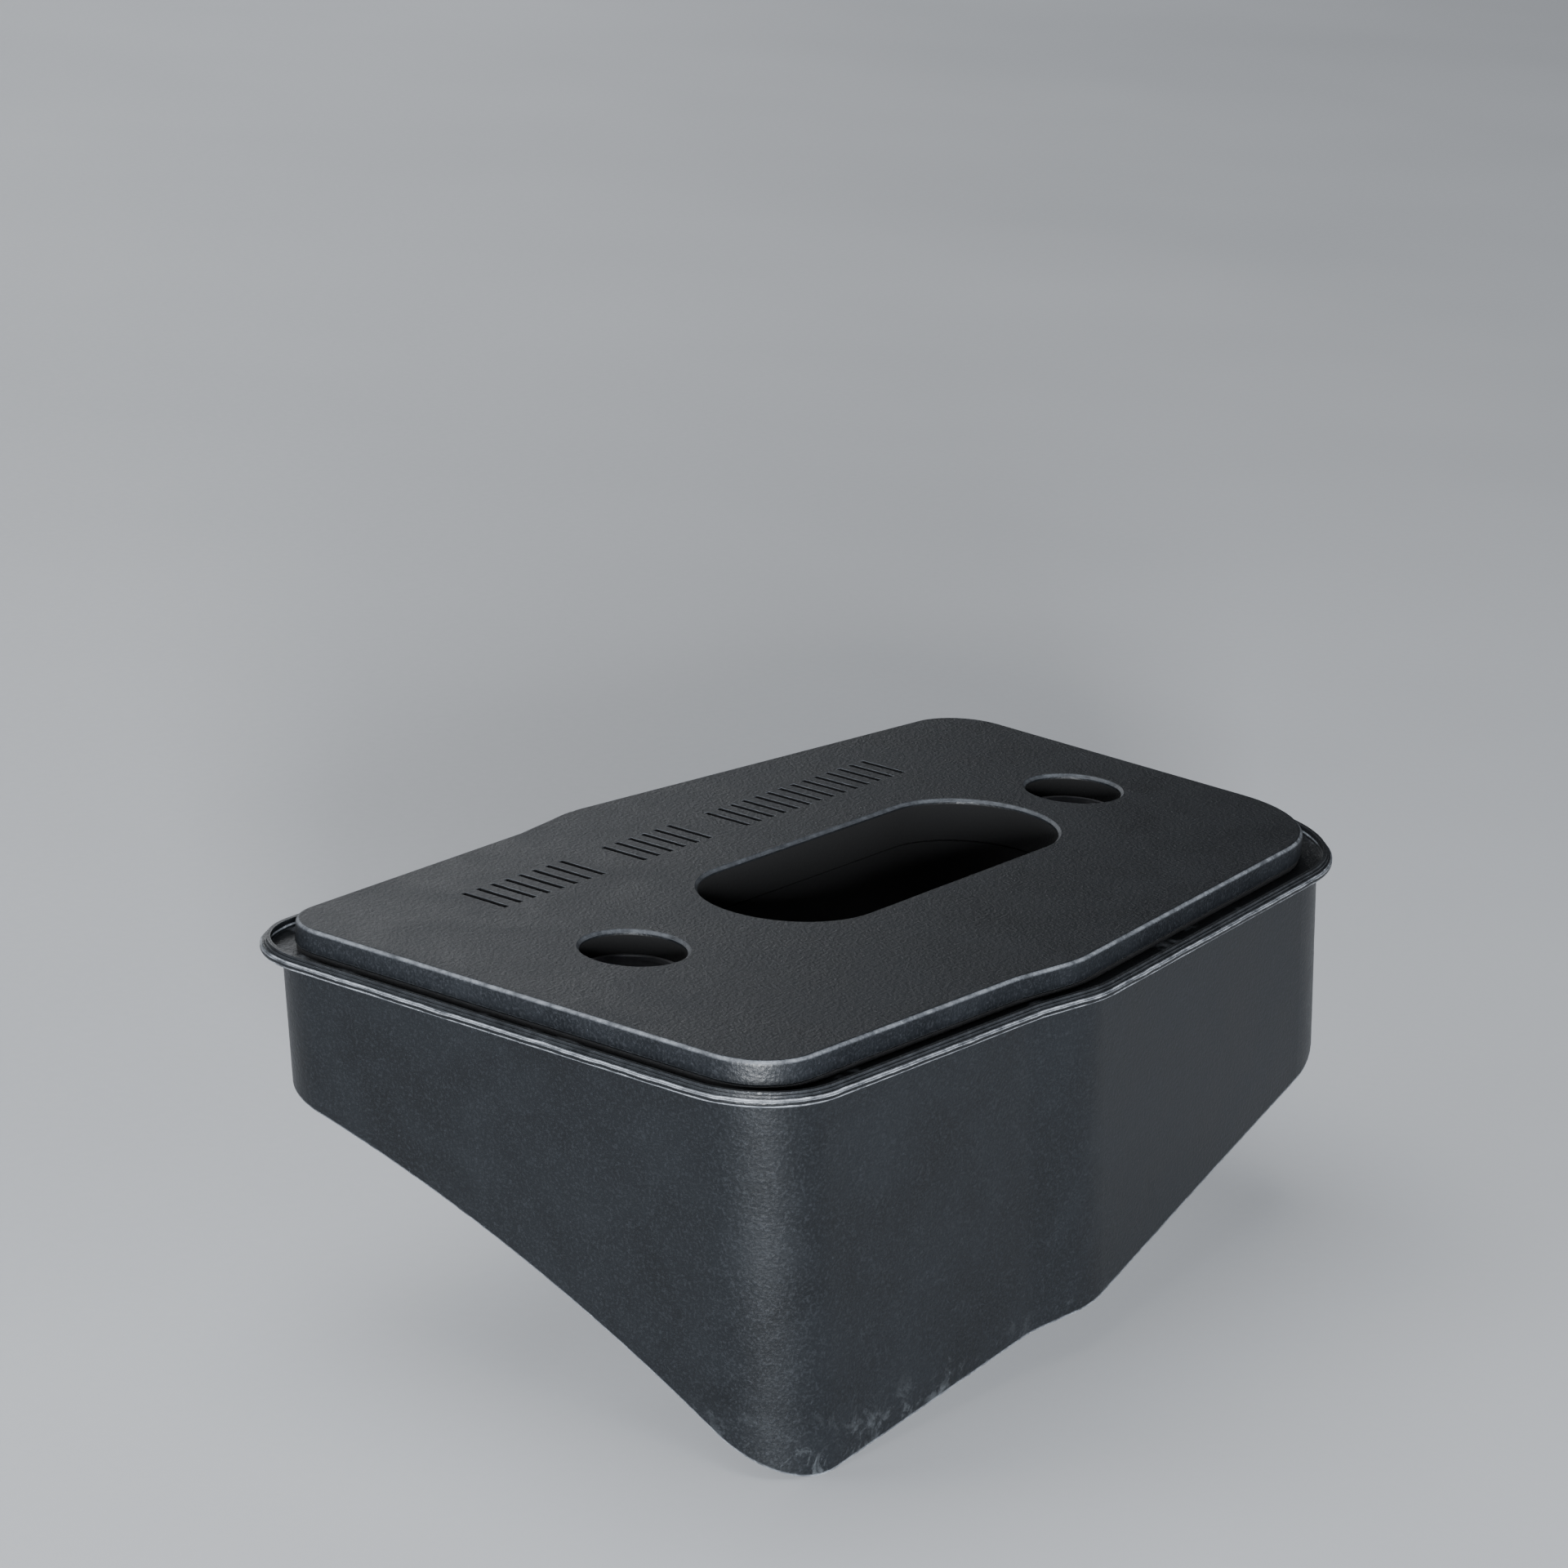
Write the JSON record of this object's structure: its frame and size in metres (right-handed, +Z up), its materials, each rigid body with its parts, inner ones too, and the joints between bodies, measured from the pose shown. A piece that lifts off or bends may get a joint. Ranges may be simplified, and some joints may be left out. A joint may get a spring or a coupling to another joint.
{
  "type": "wedge mounting block",
  "caption": "Wedge-shaped black mounting block: flat slotted top plate in a lipped body, sleeved bolt holes, and an arched, twisted sole that seats it on a sloping curved surface.",
  "frame": {"origin": "on the top plate's upper face, on the centre line, midway between the two bolt holes", "axes": "+Z up, square to the top plate; +X along the block from the deep end to the shallow end; +Y across the block towards its shallow side"},
  "size_m": [0.0612, 0.0374, 0.0229],
  "materials": {
    "body_nylon": "matt, fine sintered grain",
    "plate_nylon": "matt, very fine grain",
    "seal_rubber": "matt",
    "sleeve_steel": "turned"
  },
  "bodies": {
    "root": {"wedge_body": "body_nylon", "top_plate": "plate_nylon", "perimeter_seal": "seal_rubber", "bolt_sleeve_near": "sleeve_steel", "bolt_sleeve_far": "sleeve_steel"}
  },
  "joints": []
}
